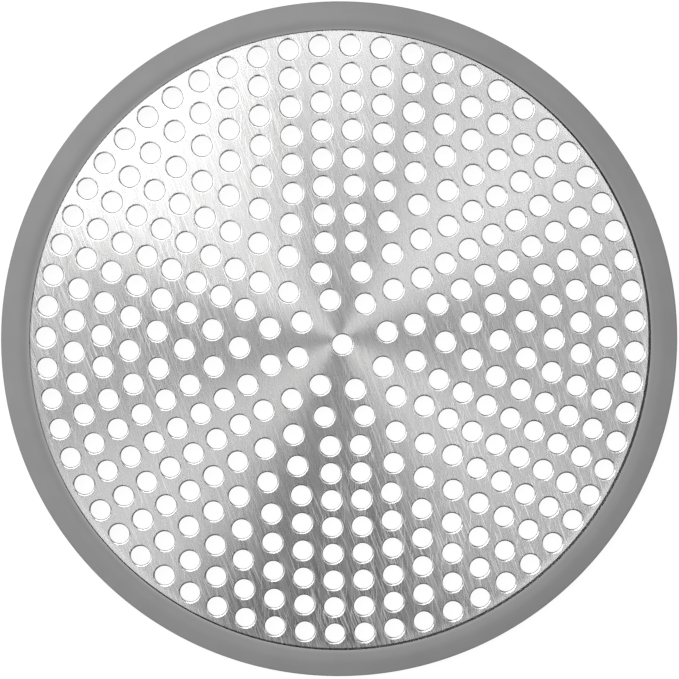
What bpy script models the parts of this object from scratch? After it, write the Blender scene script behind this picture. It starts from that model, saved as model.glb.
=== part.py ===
"""Drain strainer: a punched stainless plate held by its edge in a soft rim.

The strainer lies on a shower floor over the drain. Lengths are in metres and +Z is up. The origin is
at the middle of the rim's seat, the flat face that lies on the floor. The punched pattern has six equal
sectors, and the spoke between two of them runs along +X.
"""

import math

import bmesh
import bpy
from mathutils import Vector

MM = 0.001

# The rim's section, from the outer edge inwards and from the floor upwards
RIM_DIAMETER = 146.0 * MM
OUTER_WALL = 2.8 * MM  # from the rim's outer edge to the bottom of the groove
LIP_REACH = 3.5 * MM  # how far the upper lip comes in over the plate
LEDGE_REACH = 3.0 * MM  # how far the foot comes in under the plate
FOOT_HEIGHT = 2.7 * MM  # from the floor to the ledge that the plate lies on
LIP_THICKNESS = 0.9 * MM
EDGE_DROP = 0.9 * MM  # how much lower the outer edge is than the crown of the lip
CROWN_WIDTH = 2.2 * MM  # level part of the lip, before it slopes outwards
NOSE_ROUND = 0.4 * MM
CROWN_ROUND = 9.5 * MM
OUTER_ROUND = 1.2 * MM
SEAT_ROUND = 0.4 * MM

# The plate
PLATE_THICKNESS = 0.8 * MM
GROOVE_CLEARANCE = 0.3 * MM  # all round the plate's edge, above and below it too

# The punched pattern
HOLE_DIAMETER = 4.62 * MM
CENTRE_WEB = 5.42 * MM  # steel between the middle hole and the first ring
INNER_WEB = 1.50 * MM  # steel between the first ring and the second, and the second and the third
RING_WEB = 1.29 * MM  # steel between two rings farther out
COLUMN_WEB = 1.93 * MM  # steel between two columns of holes in a sector
SPOKE_WEB = 3.38 * MM  # most steel between the two holes that a ring has beside a spoke
EDGE_WEB = 0.6 * MM  # least steel between the last ring and the lip
SECTORS = 6
FIRST_RING_HOLES = 8
FIRST_RING_TURN = math.radians(14.5)  # from the spoke to the first ring's nearest hole

# Facets
ROUND_SIDES = 96
HOLE_SIDES = 8
PLATE_FACETS = 12400  # a plate with more holes gets plainer ones, to stay within this
ARC_STEP = math.radians(32)
SHARP_ANGLE = math.radians(40)

# What follows from the sizes above
GROOVE_RADIUS = RIM_DIAMETER / 2 - OUTER_WALL
LIP_RADIUS = GROOVE_RADIUS - LIP_REACH
FOOT_RADIUS = GROOVE_RADIUS - LEDGE_REACH
PLATE_RADIUS = GROOVE_RADIUS - GROOVE_CLEARANCE
PLATE_BOTTOM = FOOT_HEIGHT + GROOVE_CLEARANCE
GROOVE_TOP = PLATE_BOTTOM + PLATE_THICKNESS + GROOVE_CLEARANCE
RIM_HEIGHT = GROOVE_TOP + LIP_THICKNESS


def clear_scene():
    for obj in list(bpy.data.objects):
        bpy.data.objects.remove(obj)


def material(name, colour, roughness, metallic):
    made = bpy.data.materials.new(name)
    made.use_nodes = True
    shader = made.node_tree.nodes["Principled BSDF"]
    shader.inputs["Base Color"].default_value = (*colour, 1.0)
    shader.inputs["Roughness"].default_value = roughness
    shader.inputs["Metallic"].default_value = metallic
    return made


def add_piece(name, maker, finish, collection):
    """Turns the maker object into a plain closed mesh of this name, and removes the maker."""
    bpy.context.scene.collection.objects.link(maker)
    bpy.context.view_layer.update()
    evaluated = maker.evaluated_get(bpy.context.evaluated_depsgraph_get())
    mesh = bpy.data.meshes.new_from_object(evaluated)
    whole = bmesh.new()
    whole.from_mesh(mesh)
    bmesh.ops.remove_doubles(whole, verts=whole.verts, dist=1e-6)
    whole.to_mesh(mesh)
    whole.free()
    mesh.name = name
    mesh.materials.clear()
    mesh.materials.append(finish)
    mesh.shade_smooth()
    mesh.set_sharp_from_angle(angle=SHARP_ANGLE)
    piece = bpy.data.objects.new(name, mesh)
    piece.matrix_world = maker.matrix_world
    bpy.data.objects.remove(maker)
    collection.objects.link(piece)
    return piece


def circle_points(x, y, radius, sides):
    """Points round a circle, half a side away from +X, so that flats and not corners face the axes."""
    angles = [2 * math.pi * (k + 0.5) / sides for k in range(sides)]
    return [(x + radius * math.cos(a), y + radius * math.sin(a)) for a in angles]


def half_sector_angles(ring, radius):
    """Angles from the middle line of a sector to the ring's holes on one side of it.

    The holes of all rings stand in straight columns beside the middle line. They close up to an even
    spacing where a ring is too short for its columns. An even ring has no hole on the spoke, and its
    last pair stays near the spoke.
    """
    half_sector = math.pi / SECTORS
    column_pitch = HOLE_DIAMETER + COLUMN_WEB
    angles = []
    for k in range(ring // 2):
        column = math.asin(min(1.0, (k + 0.5) * column_pitch / radius))
        even = (2 * k + 1) * half_sector / ring
        angles.append(min(column, even))
    if ring % 2:
        return angles + [half_sector]
    beside_spoke = half_sector - math.asin((HOLE_DIAMETER + SPOKE_WEB) / 2 / radius)
    return angles[:-1] + [max(angles[-1], beside_spoke)]


def ring_angles(ring, radius):
    if ring == 1:
        return [FIRST_RING_TURN + 2 * math.pi * k / FIRST_RING_HOLES for k in range(FIRST_RING_HOLES)]
    found = []
    for sector in range(SECTORS):
        middle = (2 * sector + 1) * math.pi / SECTORS
        for angle in half_sector_angles(ring, radius):
            found.append(middle + angle)
            if angle < math.pi / SECTORS:
                found.append(middle - angle)
    return found


def hole_centres():
    """The middle hole, then as many rings as have room inside the lip."""
    centres = [(0.0, 0.0)]
    outermost = LIP_RADIUS - EDGE_WEB - HOLE_DIAMETER / 2
    radius = HOLE_DIAMETER + CENTRE_WEB
    ring = 1
    while radius <= outermost:
        centres += [(radius * math.cos(a), radius * math.sin(a)) for a in ring_angles(ring, radius)]
        radius += HOLE_DIAMETER + (INNER_WEB if ring < 3 else RING_WEB)
        ring += 1
    return centres


def plate_maker():
    """The disc and its holes as one flat outline, extruded to the plate's thickness."""
    curve = bpy.data.curves.new("plate_outline", "CURVE")
    curve.dimensions = "2D"
    curve.fill_mode = "BOTH"
    curve.extrude = PLATE_THICKNESS / 2
    centres = hole_centres()
    sides = min(HOLE_SIDES, PLATE_FACETS // (4 * len(centres)) - 1)
    outlines = [circle_points(0.0, 0.0, PLATE_RADIUS, ROUND_SIDES)]
    outlines += [circle_points(x, y, HOLE_DIAMETER / 2, sides) for x, y in centres]
    for outline in outlines:
        spline = curve.splines.new("POLY")
        spline.points.add(len(outline) - 1)
        for point, (x, y) in zip(spline.points, outline):
            point.co = (x, y, 0.0, 1.0)
        spline.use_cyclic_u = True
    maker = bpy.data.objects.new("plate_outline", curve)
    maker.location.z = PLATE_BOTTOM + PLATE_THICKNESS / 2
    return maker


def rounded(corners):
    """Points of a closed outline whose corners, each (across, up, radius), are rounded with arcs."""
    points = []
    for k, (across, up, radius) in enumerate(corners):
        corner = Vector((across, up))
        before = Vector(corners[k - 1][:2]) - corner
        after = Vector(corners[(k + 1) % len(corners)][:2]) - corner
        if radius <= 0:
            points.append(corner)
            continue
        half = before.angle(after) / 2
        cut = min(radius / math.tan(half), 0.48 * before.length, 0.48 * after.length)
        arc_radius = cut * math.tan(half)
        middle = corner + (before.normalized() + after.normalized()).normalized() * (cut / math.cos(half))
        start = (corner + before.normalized() * cut) - middle
        turn = start.angle_signed((corner + after.normalized() * cut) - middle)
        steps = max(2, math.ceil(abs(turn) / ARC_STEP))
        first = math.atan2(start.y, start.x)
        for step in range(steps + 1):
            angle = first - turn * step / steps
            points.append(middle + arc_radius * Vector((math.cos(angle), math.sin(angle))))
    return points


def rim_corners():
    """The rim's section: out along the lip's top, down the outer edge, in along the seat and up again."""
    return [
        (LIP_RADIUS, RIM_HEIGHT, NOSE_ROUND),
        (LIP_RADIUS + CROWN_WIDTH, RIM_HEIGHT, CROWN_ROUND),
        (RIM_DIAMETER / 2, RIM_HEIGHT - EDGE_DROP, OUTER_ROUND),
        (RIM_DIAMETER / 2, 0.0, SEAT_ROUND),
        (FOOT_RADIUS, 0.0, SEAT_ROUND),
        (FOOT_RADIUS, FOOT_HEIGHT, 0.0),
        (GROOVE_RADIUS, FOOT_HEIGHT, 0.0),
        (GROOVE_RADIUS, GROOVE_TOP, 0.0),
        (LIP_RADIUS, GROOVE_TOP, NOSE_ROUND),
    ]


def rim_maker():
    """The rim's section turned about the Z axis."""
    section = rounded(rim_corners())
    edges = [(k, (k + 1) % len(section)) for k in range(len(section))]
    mesh = bpy.data.meshes.new("rim_section")
    mesh.from_pydata([(point.x, 0.0, point.y) for point in section], edges, [])
    maker = bpy.data.objects.new("rim_section", mesh)
    screw = maker.modifiers.new("turn", "SCREW")
    screw.axis = "Z"
    screw.steps = ROUND_SIDES
    screw.render_steps = ROUND_SIDES
    screw.use_merge_vertices = True
    screw.merge_threshold = 0.00001
    return maker


def main():
    clear_scene()
    parts = bpy.data.collections.new("drain_strainer")
    bpy.context.scene.collection.children.link(parts)
    steel = material("satin_stainless_steel", (0.62, 0.62, 0.61), 0.32, 1.0)
    silicone = material("grey_silicone", (0.28, 0.28, 0.28), 0.55, 0.0)
    add_piece("strainer_plate", plate_maker(), steel, parts)
    add_piece("silicone_rim", rim_maker(), silicone, parts)


main()
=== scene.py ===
"""Drain strainer: a punched stainless plate in a soft grey rim, seen from straight above.

Lengths are in metres. The frame is the CAD model's: +Z is up and the origin is on the floor, at the middle
of the rim.
"""

import math

import bmesh
import bpy
from mathutils import Matrix, Vector


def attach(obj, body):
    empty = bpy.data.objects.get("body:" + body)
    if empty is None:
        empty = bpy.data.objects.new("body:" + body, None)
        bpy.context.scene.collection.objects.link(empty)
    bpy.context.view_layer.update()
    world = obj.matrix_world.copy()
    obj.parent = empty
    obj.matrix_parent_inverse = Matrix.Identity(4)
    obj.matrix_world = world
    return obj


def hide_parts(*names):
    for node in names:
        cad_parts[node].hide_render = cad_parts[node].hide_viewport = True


MM = 0.001

# The rim's section
RIM_RADIUS = 73.0 * MM
RIM_HEIGHT = 5.0 * MM
GROOVE_RADIUS = 70.2 * MM
GROOVE_TOP = 4.1 * MM
FOOT_RADIUS = 67.2 * MM
FOOT_HEIGHT = 2.7 * MM
CROWN_RADIUS = 69.0 * MM  # where the lip is highest
OUTER_HEIGHT = 4.25 * MM  # what the lip slopes down to outwards
LIP_RADIUS = 67.03 * MM
NOSE_TOP = 4.12 * MM  # of the lip's thin edge over the plate
NOSE_BOTTOM = 3.86 * MM
NOSE_SETBACK = 0.10 * MM  # from the edge's top out to its underside
LIP_TAPER = 1.0 * MM  # how far from its edge the lip gets its full thickness
NOSE_ROUND = 0.08 * MM
CROWN_ROUND = 6.0 * MM
OUTER_ROUND = 0.7 * MM
SEAT_ROUND = 0.4 * MM
LEDGE_ROUND = 0.2 * MM
LIP_SHIFT = Vector((0.12, -0.01, 0.0)) * MM  # how far the stretched lip's edge is off the rim's middle
GAPE_BEARING = math.radians(315)  # the side where the lip stands a little off the steel

# The plate
PLATE_RADIUS = 69.9 * MM
PLATE_BOTTOM = 3.0 * MM
PLATE_TOP = 3.8 * MM
EDGE_BREAK = 0.05 * MM
EDGE_RADIUS = 66.82 * MM  # where the plate's edge starts to turn down into the rim
EDGE_SHIFT = Vector((-0.15, 0.15, 0.0)) * MM  # how far that edge is off the rim's middle
EDGE_WIDTH = 0.65 * MM
EDGE_DROP = 0.50 * MM
EDGE_CURVE = 1.15  # the power that its drop grows with
EDGE_FALL = 0.55 * MM  # how far it has dropped at PLATE_RADIUS

# The punched pattern
HOLE_DIAMETER = 4.62 * MM  # as in the CAD model, which the webs between the holes go with
HOLE_RADIUS = 2.19 * MM  # inside the edge that the punch draws down
BEND_RADIUS = 0.55 * MM  # of that edge
BEND_ANGLE = math.radians(33)
SLOPE_WIDTH = 0.05 * MM  # the straight slope inside the bend
CENTRE_WEB = 5.42 * MM
INNER_WEB = 1.50 * MM
RING_WEB = 1.29 * MM
COLUMN_WEB = 1.93 * MM
SPOKE_WEB = 3.38 * MM
SECTORS = 6
RINGS = 10
FIRST_RING_HOLES = 8
FIRST_RING_TURN = math.radians(14.5)
PATTERN_SHIFT = Vector((0.165, 0.22, 0.0)) * MM  # how far the punched pattern is off the rim's middle
ROLL_WIDTH = BEND_RADIUS * math.sin(BEND_ANGLE) + SLOPE_WIDTH
ROLL_DEPTH = BEND_RADIUS * (1 - math.cos(BEND_ANGLE)) + SLOPE_WIDTH * math.tan(BEND_ANGLE)

# Smoothness
HOLE_SIDES = 32
BEND_STEPS = 4
ROUND_SIDES = 288
ARC_STEP = math.radians(9)
ARC_SHARE = 0.48  # the most of a side that the round at one end of it takes
MERGE_DISTANCE = 0.001 * MM
STEEL_SHARP = math.radians(30)  # the angle at which an edge shows as sharp
RUBBER_SHARP = math.radians(40)

# The steel's finish. A tone is a share of the way from the dark colour to the light one.
SPIN_SHIFT = Vector((-0.64, 1.35, 0.0)) * MM  # the middle of the polishing marks, which isn't the middle hole
SCRATCH_LEAN = math.radians(108)  # the way that most scratches run, from +X
MIDDLE_TONE = 0.5
FINE_TONE = 0.05
BROAD_TONE = 0.08
SPARSE_TONE = 0.65
STRAY_TONE = 0.55
SPARSE_PEAKS = (0.66, 0.73)  # only the highest peaks of the noise become clear scratches
STRAY_PEAKS = (0.70, 0.76)
PATCH_SIZE = 18 * MM  # of the places that are scratched more and less
PATCH_SPREAD = (0.35, 0.65)
PATCH_WEAR = (0.3, 1.4)
LOW_SIDE = (-50 * MM, -6 * MM)  # along Y, from where the plate is scratched most to where it is least
LOW_SIDE_WEAR = (1.25, 0.72)
MIDDLE_REACH = (10 * MM, 45 * MM)  # from the axis, where the plate is scratched less
MIDDLE_WEAR = (0.4, 1.0)
MARKS_IN_TONE = 0.85
MARKS_SPREAD = (-0.15, 0.35)  # from the cleanest polish to a deep scratch
STEEL_ROUGHNESS = (0.23, 0.38)  # between the scratches and in them
RELIEF_SIDE = (-50 * MM, 0.0)  # along Y, from where the scratches feel roughest to where they hardly do
RELIEF_STRENGTH = (0.3, 0.02)
SCRATCH_DEPTH = 0.012 * MM
BURNISH = 0.13  # how much smoother the bend round a hole is
BURNISH_DEPTH = 0.05 * MM  # the bend is wholly burnished below this
FACE_DEPTH = 0.005 * MM  # the flat face ends this far down the bend
HOLES_REACH = (66.50 * MM, 66.60 * MM)  # outside this lies only the plate's edge
BORDER = (65.0 * MM, 65.9 * MM)  # from the axis, where the steel turns paler with a painted highlight
BORDER_SIDE = (-0.7, 1.0)  # towards the gape, from where the painted highlight isn't there to where it is most
# the strength of the painted highlight on the plate's border
BORDER_HIGHLIGHT_TONE = 0.32
STEEL_ANISOTROPY = 0.93  # far wider across the grooves than along them
NOISE_SPREAD = (0.30, 0.70)  # nearly all of a noise texture lies between these

# The finish of the hole walls
TEAR_SIZE = 0.11 * MM
TEAR_DEPTH = 0.02 * MM
TEAR_STRENGTH = 0.2
TEAR_ROUGHNESS = (0.22, 0.40)

# The finish of the rubber
CLOUD_SIZE = 11 * MM
TOOTH_SIZE = 0.22 * MM
TOOTH_DEPTH = 0.015 * MM
TOOTH_STRENGTH = 0.2
RUBBER_ROUGHNESS = (0.58, 0.68)
RUBBER_SPECULAR = 0.35  # the reflection of silicone's IOR of 1.4
PAINTED_GLOW_POWER = 2.0  # how quickly the lip's painted glow fades from its edge outwards
# the heights of the lip's edge that are painted near black as painted shade
CREVICE_HEIGHTS = (3.98 * MM, NOSE_TOP)
CREVICE_SIDE = (0.1, 0.8)  # towards the gape, from where the painted shade isn't dark to where it is most

# The camera, fitted to the holes of the photograph
IMAGE_SIZE = 679
PIXEL = 0.21585 * MM  # what one pixel spans at the plate
CAMERA_PIXELS = 1173.0  # the camera's distance and its focal length, in pixels
PLATE_MIDDLE = (342.45, 344.43)
TILT = math.radians(3.988)
LEAN = math.radians(1.530)
ROLL = math.radians(1.5556)
SENSOR_WIDTH = 36.0
NEAREST = 10 * MM

# The studio. A polished plate shows each lamp as a wedge, so each wedge of the photograph has its lamp: its
# angles from straight up and from +X in degrees, its diameter in metres, and how bright it looks.
WORLD_LIGHT = 0.134
LAMP_DISTANCE = 0.6
LAMPS = [
    ("upper_left", 32, 135, 0.367, 3.88),
    ("steep_right", 14, 30, 0.14, 3.54),
    ("upper", 32, 90, 0.233, 3.04),
    ("left", 40, 180, 0.233, 2.94),
    ("steep_lower_right", 16, 315, 0.14, 1.99),
    ("steep_lower_left", 20, 225, 0.18, 1.62),
    ("upper_right", 28, 75, 0.233, 1.25),
    ("right", 34, 0, 0.233, 1.09),
    ("high_left", 44, 165, 0.233, 1.08),
    ("low_lower_left", 50, 225, 0.367, 0.80),
    ("low_right", 70, 0, 0.534, 0.60),
]
TABLE_GLOW = 0.93
TABLE_SIZE = 3.0  # from its middle to a side


def colour(code):
    """A colour written as on a screen, #rrggbb, as the linear numbers that Blender takes."""
    linear = []
    for k in (1, 3, 5):
        value = int(code[k:k + 2], 16) / 255
        linear.append(value / 12.92 if value <= 0.04045 else ((value + 0.055) / 1.055) ** 2.4)
    return (*linear, 1.0)


def node(tree, kind, inputs=(), output=0, **settings):
    """Adds a node with its settings, gives its inputs values or links, and returns one of its outputs.

    The inputs are a list in the node's own order, or a dictionary. Map Range takes a value, the range that
    it lies in and the range that it becomes.
    """
    made = tree.nodes.new(kind)
    for name, value in settings.items():
        setattr(made, name, value)
    places = inputs.items() if isinstance(inputs, dict) else enumerate(inputs)
    for place, value in places:
        if isinstance(value, bpy.types.NodeSocket):
            tree.links.new(value, made.inputs[place])
        else:
            made.inputs[place].default_value = value
    return made.outputs[output]


def new_material(name):
    """An empty material, and the tree that its nodes go into."""
    made = bpy.data.materials.new(name)
    made.use_nodes = True
    made.node_tree.nodes.clear()
    return made, made.node_tree


def end_tree(tree, kind, surface):
    """Adds the output of a material or of the world, and gives it its surface."""
    tree.links.new(surface, tree.nodes.new(kind).inputs["Surface"])


def from_axis(tree, where):
    """How far a place is from the rim's axis."""
    flat = node(tree, "ShaderNodeVectorMath", [where, (1.0, 1.0, 0.0)], operation="MULTIPLY")
    return node(tree, "ShaderNodeVectorMath", [flat], "Value", operation="LENGTH")


def towards_gape(tree, where):
    """1 at the lip's edge on the side where the lip stands off the steel, and -1 on the other side."""
    towards = Vector((math.cos(GAPE_BEARING), math.sin(GAPE_BEARING), 0.0)) / LIP_RADIUS
    return node(tree, "ShaderNodeVectorMath", [where, towards], "Value", operation="DOT_PRODUCT")


def scratches(tree, width, length, lean, detail, seed):
    """Noise drawn out into straight scratches. They lean this much from the way that most of them run."""
    turned = node(tree, "ShaderNodeMapping", {
        "Vector": node(tree, "ShaderNodeTexCoord", output="Object"),
        "Rotation": (0.0, 0.0, -(SCRATCH_LEAN + lean)),
    })
    drawn_out = node(tree, "ShaderNodeMapping", {
        "Vector": turned,
        "Location": (seed, seed * 0.7, 0.0),
        "Scale": (1 / length, 1 / width, 1 / width),
    })
    return node(tree, "ShaderNodeTexNoise", {
        "Vector": drawn_out,
        "Scale": 1.0,
        "Detail": detail,
        "Roughness": 0.6,
    })


def scratch_marks(tree, where, radius, fine):
    """How strongly each place is scratched, from the fine haze to the clear single scratches.

    The real scratches are a few hundredths of a millimetre wide, and too fine to show at this distance, so
    they are drawn 0.1 to 0.5 mm wide.
    """
    broad = scratches(tree, width=0.5 * MM, length=10 * MM, lean=0.0, detail=1.0, seed=11.7)
    sparse = scratches(tree, width=0.16 * MM, length=9 * MM, lean=0.03, detail=0.0, seed=23.9)
    stray = scratches(tree, width=0.12 * MM, length=4 * MM, lean=-0.35, detail=0.0, seed=31.3)
    haze = node(tree, "ShaderNodeMath", [
        node(tree, "ShaderNodeMapRange", [fine, *NOISE_SPREAD, -FINE_TONE, FINE_TONE]),
        node(tree, "ShaderNodeMapRange", [broad, *NOISE_SPREAD, -BROAD_TONE, BROAD_TONE]),
    ], operation="ADD")
    clear = node(tree, "ShaderNodeMath", [
        node(tree, "ShaderNodeMapRange", [sparse, *SPARSE_PEAKS, 0.0, SPARSE_TONE]),
        node(tree, "ShaderNodeMapRange", [stray, *STRAY_PEAKS, 0.0, STRAY_TONE]),
    ], operation="ADD")
    marks = node(tree, "ShaderNodeMath", [haze, clear], operation="ADD")
    along_y = node(tree, "ShaderNodeSeparateXYZ", [where], "Y")
    patches = node(tree, "ShaderNodeTexNoise", {"Vector": where, "Scale": 1 / PATCH_SIZE, "Detail": 2.0})
    for share in (
        node(tree, "ShaderNodeMapRange", [along_y, *LOW_SIDE, *LOW_SIDE_WEAR]),
        node(tree, "ShaderNodeMapRange", [patches, *PATCH_SPREAD, *PATCH_WEAR]),
        node(tree, "ShaderNodeMapRange", [radius, *MIDDLE_REACH, *MIDDLE_WEAR]),
    ):
        marks = node(tree, "ShaderNodeMath", [marks, share], operation="MULTIPLY")
    return marks


def burnish(tree, where, radius):
    """How much smoother the steel is on the bend that the punch draws down round each hole."""
    height = node(tree, "ShaderNodeSeparateXYZ", [where], "Z")
    return node(tree, "ShaderNodeMath", [
        node(tree, "ShaderNodeMapRange", [
            height, PLATE_TOP - BURNISH_DEPTH, PLATE_TOP - FACE_DEPTH, BURNISH, 0.0,
        ]),
        node(tree, "ShaderNodeMapRange", [radius, *HOLES_REACH, 1.0, 0.0]),
    ], operation="MULTIPLY")


def painted_border_highlight(tree, where, radius):
    """How much paler the plate's border is, most of all where the lip stands off it."""
    # painted highlight: the border's tone is raised where it would catch a reflection
    facing = towards_gape(tree, where)
    return node(tree, "ShaderNodeMath", [
        node(tree, "ShaderNodeMapRange", [radius, *BORDER, 0.0, 1.0]),
        node(tree, "ShaderNodeMapRange", [facing, *BORDER_SIDE, 0.0, BORDER_HIGHLIGHT_TONE]),
    ], operation="MULTIPLY")


def brushed_steel():
    """Stainless steel sheet, polished against a turning wheel and then rubbed in packing and use.

    The grooves of the polishing run in circles and are too fine to see one by one. They spread each lamp into
    a bright wedge that points to the middle. Straight scratches lie over them. A scratch is rougher and paler
    than the polish, so it shows in the dark wedges and fades in the bright ones.
    """
    made, tree = new_material("brushed stainless steel")
    where = node(tree, "ShaderNodeTexCoord", output="Object")
    radius = from_axis(tree, where)
    centred = node(tree, "ShaderNodeVectorMath", [where, SPIN_SHIFT], operation="SUBTRACT")
    level = node(tree, "ShaderNodeVectorMath", [centred, (1.0, 1.0, 0.0)], operation="MULTIPLY")
    outwards = node(tree, "ShaderNodeVectorMath", [level], operation="NORMALIZE")
    fine = scratches(tree, width=0.26 * MM, length=6 * MM, lean=-0.05, detail=2.0, seed=3.1)
    marks = scratch_marks(tree, where, radius, fine)
    tone = node(tree, "ShaderNodeMath", [marks, MARKS_IN_TONE], operation="MULTIPLY")
    # the border's painted highlight is added to the steel's tone
    for more in (painted_border_highlight(tree, where, radius), MIDDLE_TONE):
        tone = node(tree, "ShaderNodeMath", [tone, more], operation="ADD")
    polish = node(tree, "ShaderNodeMapRange", [marks, *MARKS_SPREAD, *STEEL_ROUGHNESS])
    smoother = burnish(tree, where, radius)
    along_y = node(tree, "ShaderNodeSeparateXYZ", [where], "Y")
    shader = node(tree, "ShaderNodeBsdfPrincipled", {
        "Base Color": node(
            tree, "ShaderNodeMix", {0: tone, 6: colour("#8b8b8a"), 7: colour("#f6f6f6")}, 2, data_type="RGBA",
        ),
        "Metallic": 1.0,
        "Roughness": node(tree, "ShaderNodeMath", [polish, smoother], operation="SUBTRACT"),
        "Anisotropic": STEEL_ANISOTROPY,
        "Tangent": outwards,
        "Normal": node(tree, "ShaderNodeBump", {
            "Strength": node(tree, "ShaderNodeMapRange", [along_y, *RELIEF_SIDE, *RELIEF_STRENGTH]),
            "Distance": SCRATCH_DEPTH,
            "Height": fine,
        }),
    })
    end_tree(tree, "ShaderNodeOutputMaterial", shader)
    return made


def sheared_steel():
    """The wall of a punched hole in stainless sheet: burnished by the punch, then torn.

    The tears are about 0.1 mm apart, and make the wall a mottled grey. That grey is kept darker than the
    face as painted shade, for the shade that the wall shows down inside the hole.
    """
    made, tree = new_material("sheared stainless wall")
    where = node(tree, "ShaderNodeTexCoord", output="Object")
    tear = node(tree, "ShaderNodeTexNoise", {"Vector": where, "Scale": 1 / TEAR_SIZE, "Detail": 3.0})
    shader = node(tree, "ShaderNodeBsdfPrincipled", {
        "Base Color": node(
            # the torn steel's mottled grey, kept dark as painted shade for the shade down inside the hole
            tree, "ShaderNodeMix", {0: tear, 6: colour("#6a6968"), 7: colour("#acabab")}, 2, data_type="RGBA",
        ),
        "Metallic": 1.0,
        "Roughness": node(tree, "ShaderNodeMapRange", [tear, *NOISE_SPREAD, *TEAR_ROUGHNESS]),
        "Normal": node(tree, "ShaderNodeBump", {
            "Strength": TEAR_STRENGTH,
            "Distance": TEAR_DEPTH,
            "Height": tear,
        }),
    })
    end_tree(tree, "ShaderNodeOutputMaterial", shader)
    return made


# A mask for painted shade in the rubber's colour.
def painted_crevice_shade(tree, where, radius):
    """1 low on the lip's edge where it stands off the steel and little light gets in, and 0 elsewhere."""
    height = node(tree, "ShaderNodeSeparateXYZ", [where], "Z")
    facing = towards_gape(tree, where)
    dark = 1.0
    for share in (
        node(tree, "ShaderNodeMapRange", [height, *CREVICE_HEIGHTS, 1.0, 0.0]),
        node(tree, "ShaderNodeMapRange", [radius, CROWN_RADIUS, GROOVE_RADIUS, 1.0, 0.0]),
        node(tree, "ShaderNodeMapRange", [facing, *CREVICE_SIDE, 0.0, 1.0]),
    ):
        dark = node(tree, "ShaderNodeMath", [dark, share], operation="MULTIPLY")
    return dark


def grey_silicone():
    """Silicone rubber, pigmented grey and moulded in a blasted mould.

    It is matt, with a faint cloudy tone from the pigment, and the blasting leaves a tooth that no highlight
    survives. The tooth is drawn 0.2 mm coarse, because the real one is too fine to show. The lip's thin edge
    is painted paler, a painted glow for the light that it lets through. Low on the lip's edge, on the side
    where it stands off the steel, it is painted near black, a painted shade.
    """
    made, tree = new_material("matt grey silicone")
    where = node(tree, "ShaderNodeTexCoord", output="Object")
    radius = from_axis(tree, where)
    cloud = node(tree, "ShaderNodeTexNoise", {"Vector": where, "Scale": 1 / CLOUD_SIZE, "Detail": 3.0})
    tooth = node(tree, "ShaderNodeTexNoise", {"Vector": where, "Scale": 1 / TOOTH_SIZE, "Detail": 2.0})
    # painted glow: the lip is painted paler towards its thin edge, for the light that the edge lets through
    thin = node(tree, "ShaderNodeMapRange", [radius, LIP_RADIUS, LIP_RADIUS + LIP_TAPER, 1.0, 0.0])
    base = colour("#909090")
    for share, other in (
        (node(tree, "ShaderNodeMapRange", [cloud, *NOISE_SPREAD, 0.0, 1.0]), "#969696"),
        (node(tree, "ShaderNodeMath", [thin, PAINTED_GLOW_POWER], operation="POWER"), "#acacac"),
        # painted shade: the lip's edge is painted near black low down, where it stands off the steel
        (painted_crevice_shade(tree, where, radius), "#1a1a1a"),
    ):
        base = node(tree, "ShaderNodeMix", {0: share, 6: base, 7: colour(other)}, 2, data_type="RGBA")
    shader = node(tree, "ShaderNodeBsdfPrincipled", {
        "Base Color": base,
        "Roughness": node(tree, "ShaderNodeMapRange", [tooth, *NOISE_SPREAD, *RUBBER_ROUGHNESS]),
        "Specular IOR Level": RUBBER_SPECULAR,
        "Normal": node(tree, "ShaderNodeBump", {
            "Strength": TOOTH_STRENGTH,
            "Distance": TOOTH_DEPTH,
            "Height": tooth,
        }),
    })
    end_tree(tree, "ShaderNodeOutputMaterial", shader)
    return made


def white_table():
    """A matt white table top, lit so that it shows as plain white, with the object's shadow on it.

    Metal shows it white too. A camera under it looks through.
    """
    made, tree = new_material("white table")
    seen = 0.0
    for ray in ("Is Camera Ray", "Is Glossy Ray", "Is Transmission Ray"):
        of_kind = node(tree, "ShaderNodeLightPath", output=ray)
        seen = node(tree, "ShaderNodeMath", [seen, of_kind], operation="MAXIMUM")
    plain = node(tree, "ShaderNodeBsdfDiffuse", [colour("#e6e6e6")])
    shadowed = node(tree, "ShaderNodeBsdfDiffuse", [colour("#606060")])
    glow = node(tree, "ShaderNodeEmission", [colour("#ffffff"), TABLE_GLOW])
    bright = node(tree, "ShaderNodeAddShader", [shadowed, glow])
    top = node(tree, "ShaderNodeMixShader", [seen, plain, bright])
    under = node(tree, "ShaderNodeNewGeometry", output="Backfacing")
    through = node(tree, "ShaderNodeBsdfTransparent")
    end_tree(tree, "ShaderNodeOutputMaterial", node(tree, "ShaderNodeMixShader", [under, top, through]))
    return made


def half_sector_angles(ring, radius):
    """Angles from the middle line of a sector to the ring's holes on one side of it.

    The holes of all rings stand in straight columns beside the middle line. They close up to an even
    spacing where a ring is too short for its columns. An even ring has no hole on the spoke, and its
    last pair stays near the spoke.
    """
    half_sector = math.pi / SECTORS
    column_pitch = HOLE_DIAMETER + COLUMN_WEB
    angles = []
    for k in range(ring // 2):
        column = math.asin(min(1.0, (k + 0.5) * column_pitch / radius))
        even = (2 * k + 1) * half_sector / ring
        angles.append(min(column, even))
    if ring % 2:
        return angles + [half_sector]
    beside_spoke = half_sector - math.asin((HOLE_DIAMETER + SPOKE_WEB) / 2 / radius)
    return angles[:-1] + [max(angles[-1], beside_spoke)]


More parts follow.
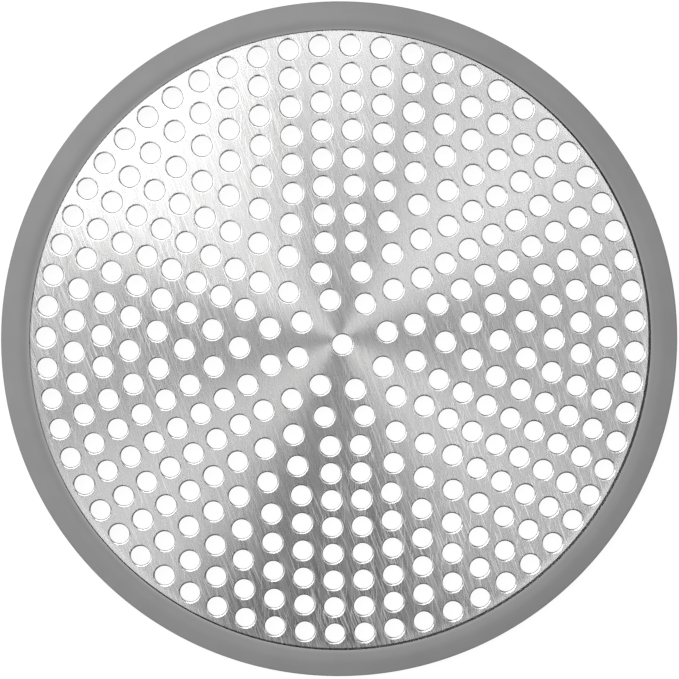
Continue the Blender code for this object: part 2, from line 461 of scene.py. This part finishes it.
def ring_angles(ring, radius):
    """The first ring is even. Each of the others repeats one sector, and shares the holes on a spoke."""
    if ring == 1:
        return [FIRST_RING_TURN + 2 * math.pi * k / FIRST_RING_HOLES for k in range(FIRST_RING_HOLES)]
    found = []
    for sector in range(SECTORS):
        middle = (2 * sector + 1) * math.pi / SECTORS
        for angle in half_sector_angles(ring, radius):
            found.append(middle + angle)
            if angle < math.pi / SECTORS:
                found.append(middle - angle)
    return found


def hole_centres():
    """The middle hole, then the rings, all round the pattern's own middle."""
    centres = [(0.0, 0.0)]
    radius = HOLE_DIAMETER + CENTRE_WEB
    for ring in range(1, RINGS + 1):
        centres += [(radius * math.cos(a), radius * math.sin(a)) for a in ring_angles(ring, radius)]
        radius += HOLE_DIAMETER + (INNER_WEB if ring < 3 else RING_WEB)
    return [(x + PATTERN_SHIFT.x, y + PATTERN_SHIFT.y) for x, y in centres]


def turned(points, sides, closed, sharp):
    """A line of (across, up) points turned about the Z axis, shaded smooth but for its sharp edges."""
    shape = bmesh.new()
    verts = [shape.verts.new((across, 0.0, up)) for across, up in points]
    count = len(verts)
    sides_of_line = count if closed else count - 1
    edges = [shape.edges.new((verts[k], verts[(k + 1) % count])) for k in range(sides_of_line)]
    bmesh.ops.spin(
        shape, geom=verts + edges, cent=(0.0, 0.0, 0.0), axis=(0.0, 0.0, 1.0), dvec=(0.0, 0.0, 0.0),
        angle=2 * math.pi, steps=sides, use_merge=True, use_duplicate=False,
    )
    bmesh.ops.remove_doubles(shape, verts=shape.verts, dist=MERGE_DISTANCE)
    for face in shape.faces:
        face.smooth = True
    for edge in shape.edges:
        if len(edge.link_faces) == 2 and edge.calc_face_angle() > sharp:
            edge.smooth = False
    return shape


def to_mesh(name, shape):
    """Turns the shape into a mesh of this name and frees it."""
    mesh = bpy.data.meshes.new(name)
    shape.to_mesh(mesh)
    shape.free()
    return mesh


def hole_wall():
    """One punched hole at the origin: the drawn-in edge, the sheared wall and the broken lower edge."""
    points = []
    for step in range(BEND_STEPS + 1):
        angle = BEND_ANGLE * step / BEND_STEPS
        points.append((
            HOLE_RADIUS + ROLL_WIDTH - BEND_RADIUS * math.sin(angle),
            PLATE_TOP - BEND_RADIUS * (1 - math.cos(angle)),
        ))
    points.append((HOLE_RADIUS, PLATE_TOP - ROLL_DEPTH))
    points.append((HOLE_RADIUS, PLATE_BOTTOM + EDGE_BREAK))
    points.append((HOLE_RADIUS + EDGE_BREAK, PLATE_BOTTOM))
    shape = turned(points, HOLE_SIDES, False, STEEL_SHARP)
    for face in shape.faces:
        face.material_index = 0 if face.calc_center_median().z > PLATE_TOP - ROLL_DEPTH else 1
    return to_mesh("hole_wall", shape)


def plate_edge():
    """The plate's outer edge, turned down into the rim's groove."""
    points = []
    for step in range(BEND_STEPS + 1):
        outwards = step / BEND_STEPS
        points.append((EDGE_RADIUS + EDGE_WIDTH * outwards, PLATE_TOP - EDGE_DROP * outwards ** EDGE_CURVE))
    points.append((PLATE_RADIUS, PLATE_TOP - EDGE_FALL))
    points.append((PLATE_RADIUS, PLATE_BOTTOM + EDGE_BREAK))
    points.append((PLATE_RADIUS - EDGE_BREAK, PLATE_BOTTOM))
    shape = turned(points, ROUND_SIDES, False, STEEL_SHARP)
    bmesh.ops.translate(shape, verts=shape.verts, vec=EDGE_SHIFT)
    return to_mesh("plate_edge", shape)


def sheet_face(shape, centres, outer, hole, height, up):
    """One flat face of the plate: the disc less its holes."""
    before = set(shape.edges)
    middle = Matrix.Translation(EDGE_SHIFT + Vector((0.0, 0.0, height)))
    bmesh.ops.create_circle(shape, cap_ends=False, radius=outer, segments=ROUND_SIDES, matrix=middle)
    for x, y in centres:
        place = Matrix.Translation((x, y, height))
        bmesh.ops.create_circle(shape, cap_ends=False, radius=hole, segments=HOLE_SIDES, matrix=place)
    edges = [edge for edge in shape.edges if edge not in before]
    bmesh.ops.triangle_fill(shape, use_beauty=True, edges=edges, normal=(0.0, 0.0, 1.0 if up else -1.0))


def add_piece(name, shape, materials):
    """Makes the shape an object at the origin, which rides on the frame."""
    bmesh.ops.recalc_face_normals(shape, faces=shape.faces)
    mesh = to_mesh(name, shape)
    for material in materials:
        mesh.materials.append(material)
    piece = bpy.data.objects.new(name, mesh)
    bpy.context.scene.collection.objects.link(piece)
    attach(piece, "root")
    return piece


def add_plate():
    """The punched plate: its two faces, a wall for each hole, and its outer edge."""
    centres = hole_centres()
    shape = bmesh.new()
    sheet_face(shape, centres, EDGE_RADIUS, HOLE_RADIUS + ROLL_WIDTH, PLATE_TOP, True)
    sheet_face(shape, centres, PLATE_RADIUS - EDGE_BREAK, HOLE_RADIUS + EDGE_BREAK, PLATE_BOTTOM, False)
    wall = hole_wall()
    for x, y in centres:
        wall.transform(Matrix.Translation((x, y, 0.0)))
        shape.from_mesh(wall)
        wall.transform(Matrix.Translation((-x, -y, 0.0)))
    edge = plate_edge()
    shape.from_mesh(edge)
    bmesh.ops.remove_doubles(shape, verts=shape.verts, dist=MERGE_DISTANCE)
    bpy.data.meshes.remove(edge)
    bpy.data.meshes.remove(wall)
    piece = add_piece("punched_plate", shape, [brushed_steel(), sheared_steel()])
    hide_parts("strainer_plate")


def rounded(corners):
    """Points of a closed outline whose corners, each (across, up, radius), are rounded with arcs."""
    points = []
    for k, (across, up, radius) in enumerate(corners):
        corner = Vector((across, up))
        before = Vector(corners[k - 1][:2]) - corner
        after = Vector(corners[(k + 1) % len(corners)][:2]) - corner
        if radius <= 0:
            points.append(corner)
            continue
        half = before.angle(after) / 2
        cut = min(radius / math.tan(half), ARC_SHARE * before.length, ARC_SHARE * after.length)
        arc_radius = cut * math.tan(half)
        middle = corner + (before.normalized() + after.normalized()).normalized() * (cut / math.cos(half))
        start = (corner + before.normalized() * cut) - middle
        turn = start.angle_signed((corner + after.normalized() * cut) - middle)
        steps = max(2, math.ceil(abs(turn) / ARC_STEP))
        first = math.atan2(start.y, start.x)
        for step in range(steps + 1):
            angle = first - turn * step / steps
            points.append(middle + arc_radius * Vector((math.cos(angle), math.sin(angle))))
    return points


def lip_pull(point):
    """How far the soft lip's edge is pulled to one side: all the way at its edge, and not at its crown."""
    across = math.hypot(point.x, point.y)
    if point.z < PLATE_TOP or across > CROWN_RADIUS:
        return Vector((0.0, 0.0, 0.0))
    return LIP_SHIFT * (CROWN_RADIUS - across) / (CROWN_RADIUS - LIP_RADIUS)


def add_rim():
    """Out along the lip's top, down the outer edge, in along the seat and up again round the groove."""
    corners = [
        (LIP_RADIUS, NOSE_TOP, NOSE_ROUND),
        (CROWN_RADIUS, RIM_HEIGHT, CROWN_ROUND),
        (RIM_RADIUS, OUTER_HEIGHT, OUTER_ROUND),
        (RIM_RADIUS, 0.0, SEAT_ROUND),
        (FOOT_RADIUS, 0.0, SEAT_ROUND),
        (FOOT_RADIUS, FOOT_HEIGHT, LEDGE_ROUND),
        (GROOVE_RADIUS, FOOT_HEIGHT, 0.0),
        (GROOVE_RADIUS, GROOVE_TOP, 0.0),
        (LIP_RADIUS + LIP_TAPER, GROOVE_TOP, 0.0),
        (LIP_RADIUS + NOSE_SETBACK, NOSE_BOTTOM, NOSE_ROUND),
    ]
    shape = turned([(point.x, point.y) for point in rounded(corners)], ROUND_SIDES, True, RUBBER_SHARP)
    for vert in shape.verts:
        vert.co += lip_pull(vert.co)
    piece = add_piece("soft_rim", shape, [grey_silicone()])
    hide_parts("silicone_rim")


def add_floor():
    """The table that the strainer lies on."""
    shape = bmesh.new()
    bmesh.ops.create_grid(shape, x_segments=1, y_segments=1, size=TABLE_SIZE)
    mesh = to_mesh("table", shape)
    mesh.materials.append(white_table())
    table = bpy.data.objects.new("table", mesh)
    bpy.context.scene.collection.objects.link(table)


def add_world():
    """White to the camera, a little grey light to the object."""
    world = bpy.data.worlds.new("studio")
    bpy.context.scene.world = world
    world.use_nodes = True
    tree = world.node_tree
    tree.nodes.clear()
    seen = node(tree, "ShaderNodeLightPath", output="Is Camera Ray")
    strength = node(tree, "ShaderNodeMapRange", [seen, 0.0, 1.0, WORLD_LIGHT, 1.0])
    end_tree(tree, "ShaderNodeOutputWorld", node(tree, "ShaderNodeBackground", [colour("#ffffff"), strength]))


def add_softbox(name, from_top, bearing, size, radiance):
    """A round soft lamp that faces the object and that the camera doesn't see."""
    lamp = bpy.data.lights.new(name, "AREA")
    lamp.shape = "DISK"
    lamp.size = size
    area = math.pi * (size / 2) ** 2
    lamp.energy = math.pi * area * radiance
    holder = bpy.data.objects.new(name, lamp)
    bpy.context.scene.collection.objects.link(holder)
    holder.visible_camera = False
    rise = math.radians(from_top)
    turn = math.radians(bearing)
    towards = Vector((math.sin(rise) * math.cos(turn), math.sin(rise) * math.sin(turn), math.cos(rise)))
    facing = towards.to_track_quat("Z", "Y").to_matrix().to_4x4()
    holder.matrix_world = Matrix.Translation(towards * LAMP_DISTANCE) @ facing


def add_camera():
    """The photograph's camera: almost straight above the plate, and close to it."""
    turn = Matrix.Rotation(LEAN, 3, "Y") @ Matrix.Rotation(TILT, 3, "X") @ Matrix.Rotation(ROLL, 3, "Z")
    facing = turn.transposed()
    camera = bpy.data.objects.new("camera", bpy.data.cameras.new("camera"))
    bpy.context.scene.collection.objects.link(camera)
    away = facing @ Vector((0.0, 0.0, CAMERA_PIXELS * PIXEL))
    aim = PATTERN_SHIFT + Vector((0.0, 0.0, PLATE_TOP))
    camera.matrix_world = Matrix.Translation(aim + away) @ facing.to_4x4()
    camera.data.sensor_width = SENSOR_WIDTH
    camera.data.lens = SENSOR_WIDTH * CAMERA_PIXELS / IMAGE_SIZE
    camera.data.shift_x = (IMAGE_SIZE / 2 - PLATE_MIDDLE[0]) / IMAGE_SIZE
    camera.data.shift_y = (PLATE_MIDDLE[1] - IMAGE_SIZE / 2) / IMAGE_SIZE
    camera.data.clip_start = NEAREST
    bpy.context.scene.camera = camera


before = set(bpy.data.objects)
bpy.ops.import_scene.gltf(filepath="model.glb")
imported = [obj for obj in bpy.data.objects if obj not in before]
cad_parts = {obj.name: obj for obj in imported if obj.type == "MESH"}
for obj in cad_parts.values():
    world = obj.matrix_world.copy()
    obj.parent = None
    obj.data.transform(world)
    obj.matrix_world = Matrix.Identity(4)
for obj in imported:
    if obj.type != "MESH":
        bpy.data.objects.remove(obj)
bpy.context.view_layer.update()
add_camera()
add_plate()
add_rim()
add_floor()
add_world()
for lamp in LAMPS:
    add_softbox(*lamp)
bpy.context.scene.view_settings.view_transform = "Standard"
